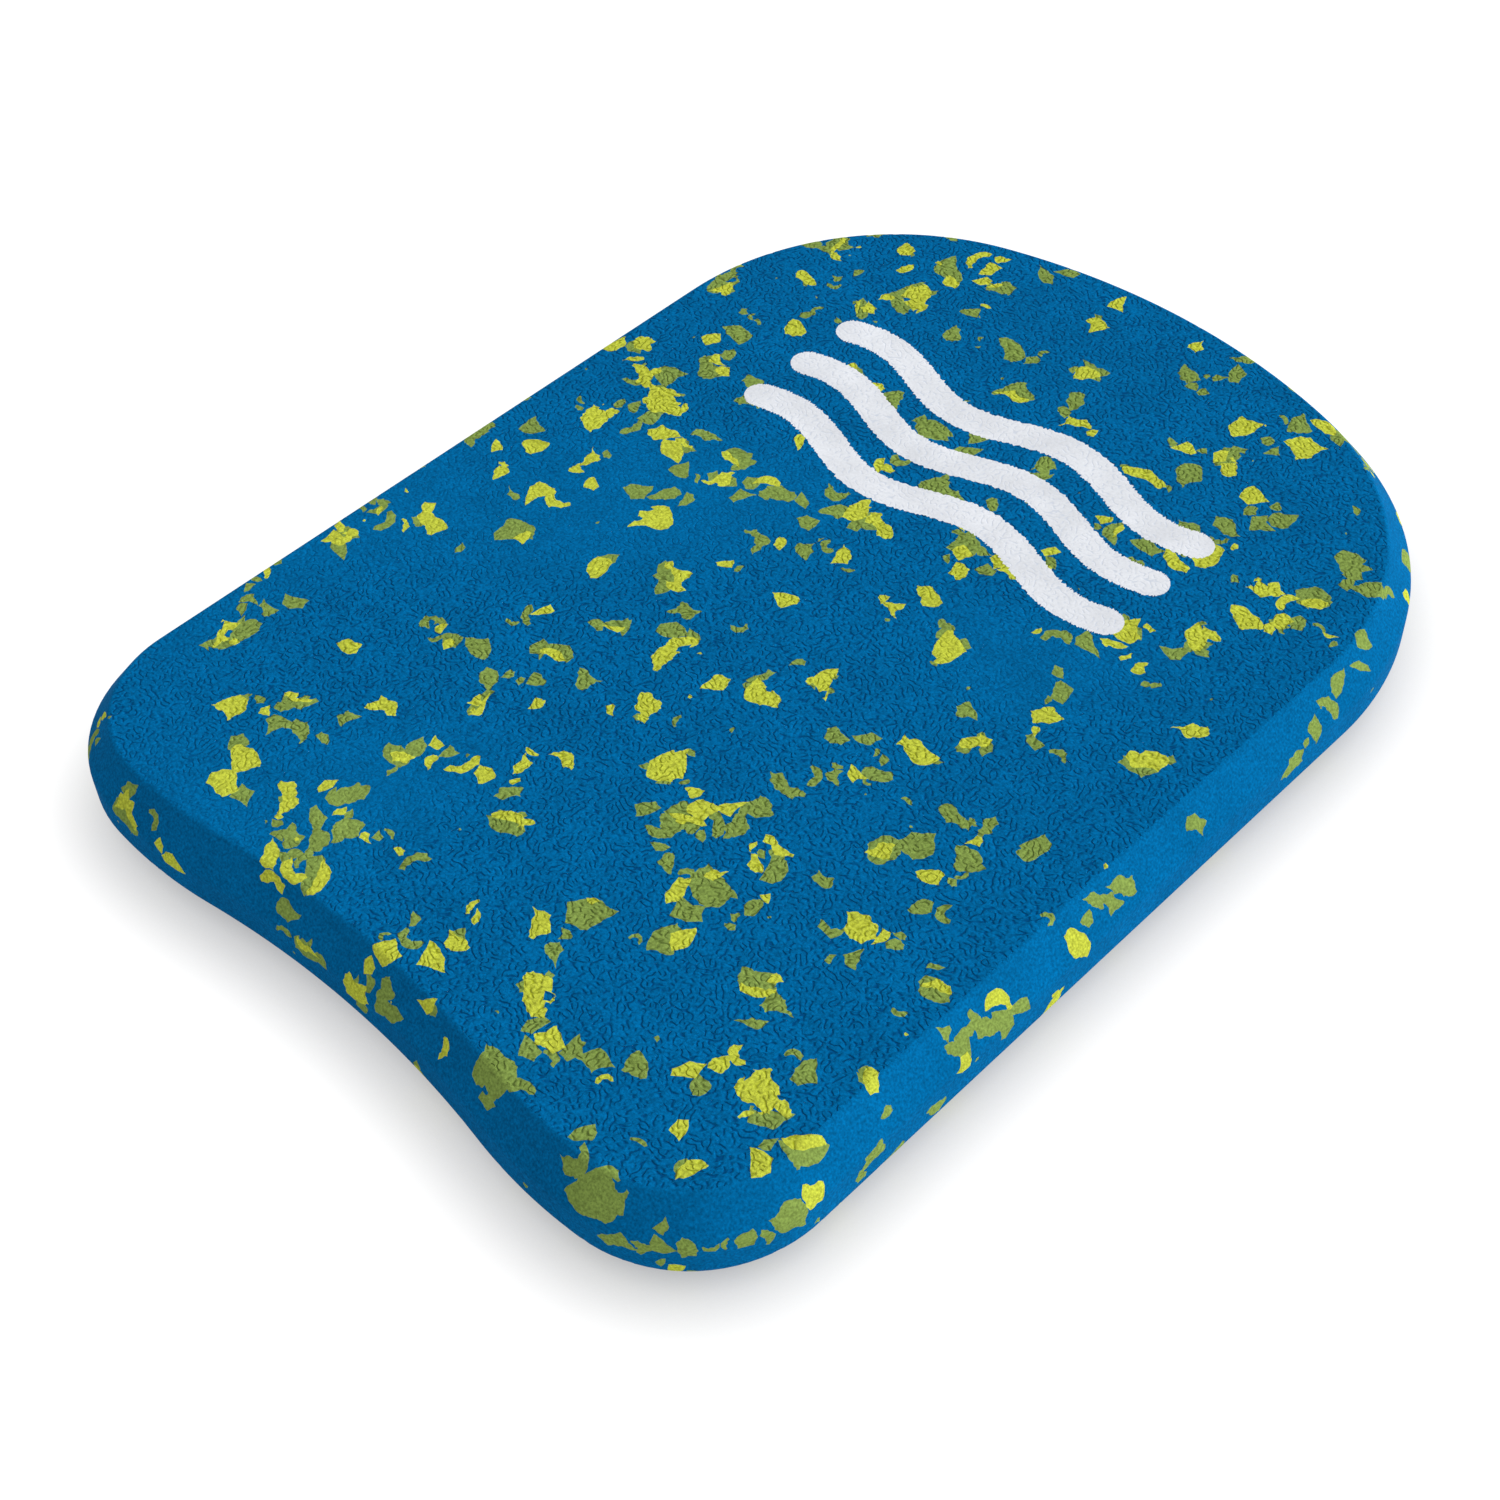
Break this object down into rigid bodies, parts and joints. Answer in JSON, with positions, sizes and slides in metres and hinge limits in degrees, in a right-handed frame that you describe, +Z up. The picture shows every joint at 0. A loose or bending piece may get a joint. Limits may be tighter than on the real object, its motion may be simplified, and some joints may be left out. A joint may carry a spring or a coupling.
{
  "type": "kickboard float",
  "caption": "Flat foam kickboard for swimming practice, with a rounded nose, a scalloped tail, bevelled edges and contrasting foam flakes set flush in every surface",
  "frame": {"origin": "on the surface that the board lies on, under the middle of its length and width", "axes": "+Y towards the rounded nose, +X across the board, +Z up out of its top face"},
  "size_m": [0.305, 0.414, 0.038],
  "materials": {
    "blue_foam": "matte closed-cell foam, pebbled on the faces",
    "lime_foam": "matte closed-cell foam",
    "olive_foam": "matte closed-cell foam"
  },
  "bodies": {
    "root": {"foam_board": "blue_foam", "top_lime_flakes": "lime_foam", "edge_lime_flakes": "lime_foam", "underside_lime_flakes": "lime_foam", "top_olive_flakes": "olive_foam", "edge_olive_flakes": "olive_foam", "underside_olive_flakes": "olive_foam"}
  },
  "joints": []
}
